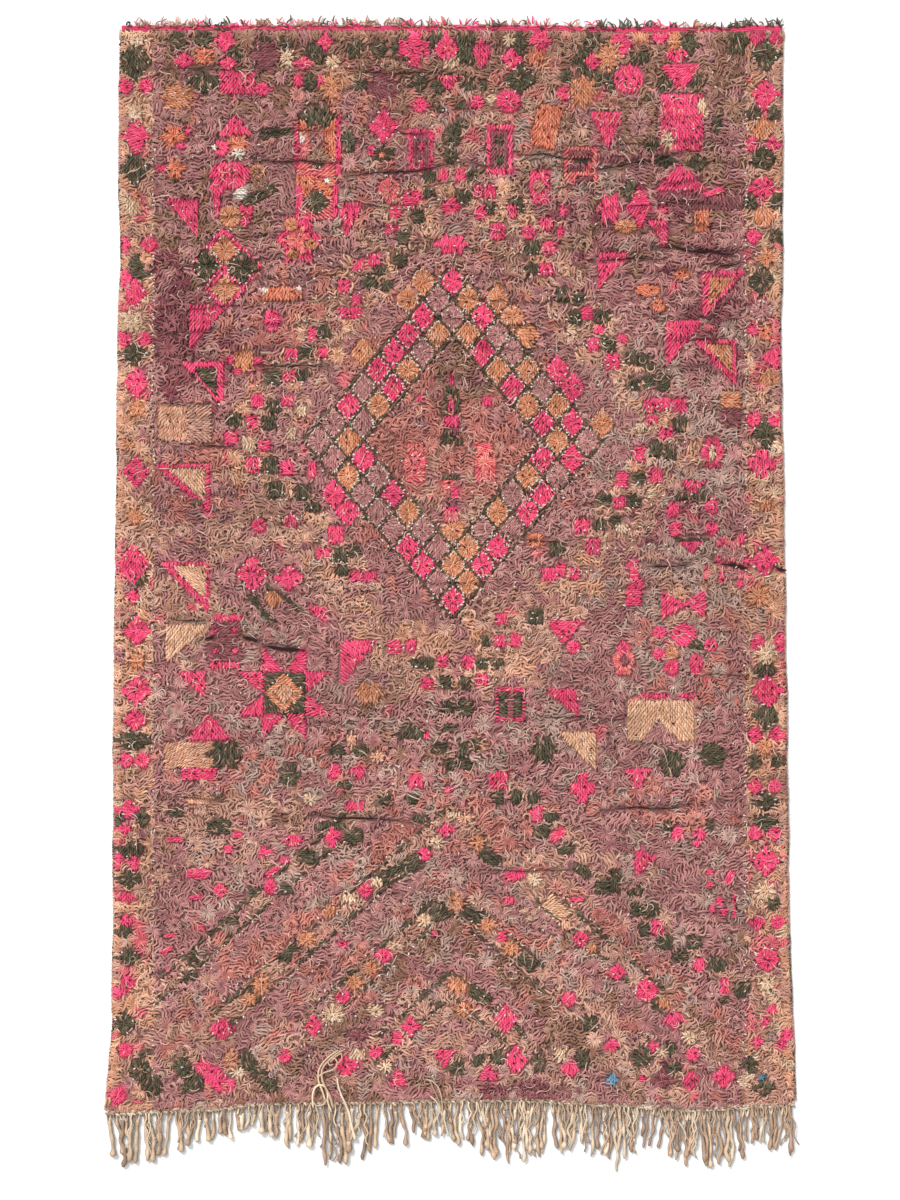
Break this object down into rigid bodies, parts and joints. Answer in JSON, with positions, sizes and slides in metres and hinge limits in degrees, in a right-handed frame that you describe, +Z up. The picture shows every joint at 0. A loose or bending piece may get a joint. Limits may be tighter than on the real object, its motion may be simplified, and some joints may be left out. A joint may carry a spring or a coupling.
{
  "type": "moroccan rug",
  "caption": "Vintage hand-knotted wool shag rug with tribal lozenges, a flat-woven head band, overcast selvedges and a knotted warp fringe.",
  "frame": {"origin": "middle of the knotted pile, on the floor under it", "axes": "+Z up from the floor, +Y towards the head end with the flat-woven band, -Y towards the fringe, +X to the right when seen from above with the head end away"},
  "size_m": [1.8752, 3.146, 0.0175],
  "materials": {
    "wool_pile": "long faded aubergine, pink, olive and ochre wool pile, matt",
    "selvedge_cord": "dark wool overcast round the edge warps, matt",
    "flat_weave": "hot pink weft-faced flat weave with short curled ends, matt",
    "warp_fringe": "undyed plied wool warp, braided and knotted, matt"
  },
  "bodies": {
    "root": {"pile_field": "wool_pile", "selvedge_left": "selvedge_cord", "selvedge_right": "selvedge_cord", "head_band": "flat_weave", "foot_fringe": "warp_fringe"}
  },
  "joints": []
}
